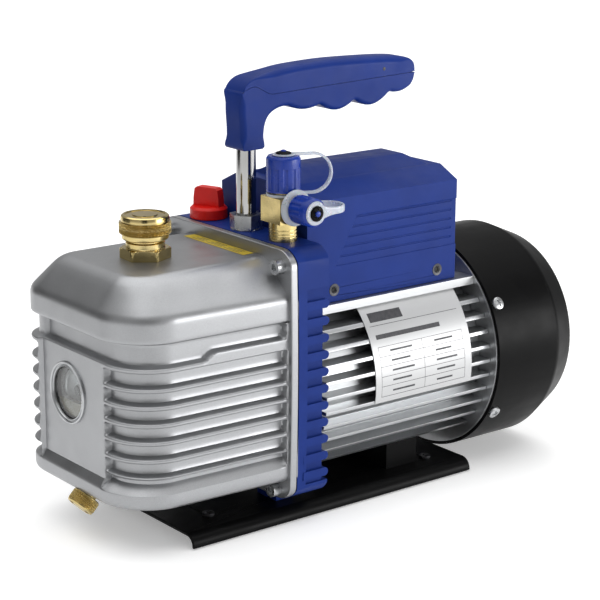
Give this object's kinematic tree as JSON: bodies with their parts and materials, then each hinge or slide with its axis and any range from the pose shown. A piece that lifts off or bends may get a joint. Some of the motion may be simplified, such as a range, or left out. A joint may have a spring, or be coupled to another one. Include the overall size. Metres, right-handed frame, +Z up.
{
  "type": "rotary vane vacuum pump",
  "caption": "Portable two-stage rotary vane vacuum pump: ribbed oil tank, blue bracket, finned motor, fan cover, terminal box and carry handle on a flat base plate.",
  "frame": {"origin": "on the ground plane under the middle of the pump's bounding box", "axes": "+X from the oil tank's sight glass towards the fan cover, along the motor shaft; +Z up; +Y across the pump"},
  "size_m": [0.3332, 0.138, 0.2566],
  "materials": {
    "black_sheet": "satin powder coat",
    "black_rubber": "matt",
    "zinc_steel": "zinc plated",
    "dark_steel": "black oxide",
    "blue_casting": "satin paint",
    "silver_casting": "silver paint on die casting",
    "gasket": "matt",
    "caution_yellow": "printed film",
    "clear_glass": "polished",
    "bare_aluminium": "extruded, satin",
    "cast_iron": "machined",
    "brass": "turned",
    "red_plastic": "satin",
    "chrome_steel": "bright",
    "blue_plastic": "fine moulded grain",
    "cap_blue": "gloss",
    "clear_strap": "milky flexible plastic",
    "steel": "ground",
    "vane_composite": "filled resin",
    "copper_winding": "enamelled",
    "label_silver": "printed metal film",
    "black_plastic": "moulded"
  },
  "bodies": {
    "pump": {"base_plate": "black_sheet", "rubber_feet": "black_rubber", "foot_screws": "dark_steel", "motor_saddle": "black_sheet", "hex_bolts": "zinc_steel", "pump_bracket": "blue_casting", "oil_tank": "silver_casting", "tank_gasket": "gasket", "tank_screws": "zinc_steel", "caution_label": "caution_yellow", "sight_glass": "clear_glass", "sight_ring": "bare_aluminium", "sight_seal": "black_rubber", "sight_reflector": "bare_aluminium", "filler_neck": "brass", "drain_neck": "brass", "ballast_sleeve": "brass", "handle_post": "chrome_steel", "handle_nut": "zinc_steel", "handle_grip": "blue_plastic", "handle_cover": "blue_plastic", "intake_body": "brass", "intake_screen": "steel", "top_cap_strap": "clear_strap", "side_cap_strap": "clear_strap", "pump_front_plate": "cast_iron", "stage_housings": "cast_iron", "exhaust_valve": "steel", "shaft_seal": "black_rubber", "motor_housing": "bare_aluminium", "rating_plate": "label_silver", "motor_shields": "bare_aluminium", "bearing_outer_rings": "steel", "stator_core": "cast_iron", "stator_windings": "copper_winding", "fan_cover": "black_sheet", "terminal_cover": "blue_plastic", "cover_screws": "dark_steel", "capacitor": "black_plastic", "power_fittings": "black_plastic"},
    "rotor": {"pump_rotors": "steel", "pump_vanes": "vane_composite", "coupling_hubs": "steel", "coupling_spider": "red_plastic", "bearing_inner_rings": "steel", "motor_rotor": "steel", "motor_shaft": "steel", "cooling_fan": "black_plastic"},
    "rocker": {"power_rocker": "black_plastic"},
    "ballast_knob": {"ballast_knob": "red_plastic"},
    "filler_seal": {"filler_seal": "black_rubber"},
    "filler_cap": {"filler_cap": "brass"},
    "drain_seal": {"drain_seal": "black_rubber"},
    "drain_cap": {"drain_cap": "brass"},
    "top_cap_seal": {"top_cap_seal": "black_rubber"},
    "top_cap": {"top_cap": "cap_blue", "top_cap_button": "cap_blue"},
    "side_cap_seal": {"side_cap_seal": "black_rubber"},
    "side_cap": {"side_cap": "cap_blue", "side_cap_button": "cap_blue"}
  },
  "joints": [
    {"name": "shaft_spin", "type": "hinge", "parent": "pump", "child": "rotor", "pos_m": [0.00577, 0, 0.0721], "axis": [1, 0, 0], "continuous": true},
    {"name": "switch_rock", "type": "hinge", "parent": "pump", "child": "rocker", "pos_m": [0.08327, -0.0295, 0.168], "axis": [0, -1, 0], "range_deg": [0, 16]},
    {"name": "ballast_turn", "type": "hinge", "parent": "pump", "child": "ballast_knob", "pos_m": [-0.04353, 0.0374, 0.16], "axis": [0, 0, 1], "range_deg": [0, 180]},
    {"name": "filler_rise", "type": "slide", "parent": "pump", "child": "filler_seal", "axis": [0, 0, 1], "range_m": [0, 0.01]},
    {"name": "filler_turn", "type": "hinge", "parent": "filler_seal", "child": "filler_cap", "pos_m": [-0.11323, 0, 0.172], "axis": [0, 0, 1], "range_deg": [0, 1440]},
    {"name": "drain_rise", "type": "slide", "parent": "pump", "child": "drain_seal", "axis": [-0.7071, 0, -0.7071], "range_m": [0, 0.006]},
    {"name": "drain_turn", "type": "hinge", "parent": "drain_seal", "child": "drain_cap", "pos_m": [-0.15773, 0, 0.0213], "axis": [-0.7071, 0, -0.7071], "range_deg": [0, 1440]},
    {"name": "top_cap_rise", "type": "slide", "parent": "pump", "child": "top_cap_seal", "axis": [0, 0, 1], "range_m": [0, 0.0127], "deforming": ["top_cap_strap"]},
    {"name": "top_cap_turn", "type": "hinge", "parent": "top_cap_seal", "child": "top_cap", "pos_m": [-0.04353, -0.035, 0.2], "axis": [0, 0, 1], "range_deg": [0, 3600]},
    {"name": "side_cap_rise", "type": "slide", "parent": "pump", "child": "side_cap_seal", "axis": [0, -1, 0], "range_m": [0, 0.01016], "deforming": ["side_cap_strap"]},
    {"name": "side_cap_turn", "type": "hinge", "parent": "side_cap_seal", "child": "side_cap", "pos_m": [-0.04353, -0.057, 0.183], "axis": [0, -1, 0], "range_deg": [0, 2880]}
  ],
  "couplings": [
    {"joint": "filler_rise", "follows": "filler_turn", "m_per_rad": 0.00039785},
    {"joint": "drain_rise", "follows": "drain_turn", "m_per_rad": 0.00023871},
    {"joint": "top_cap_rise", "follows": "top_cap_turn", "m_per_rad": 0.00020211},
    {"joint": "side_cap_rise", "follows": "side_cap_turn", "m_per_rad": 0.00020211}
  ]
}
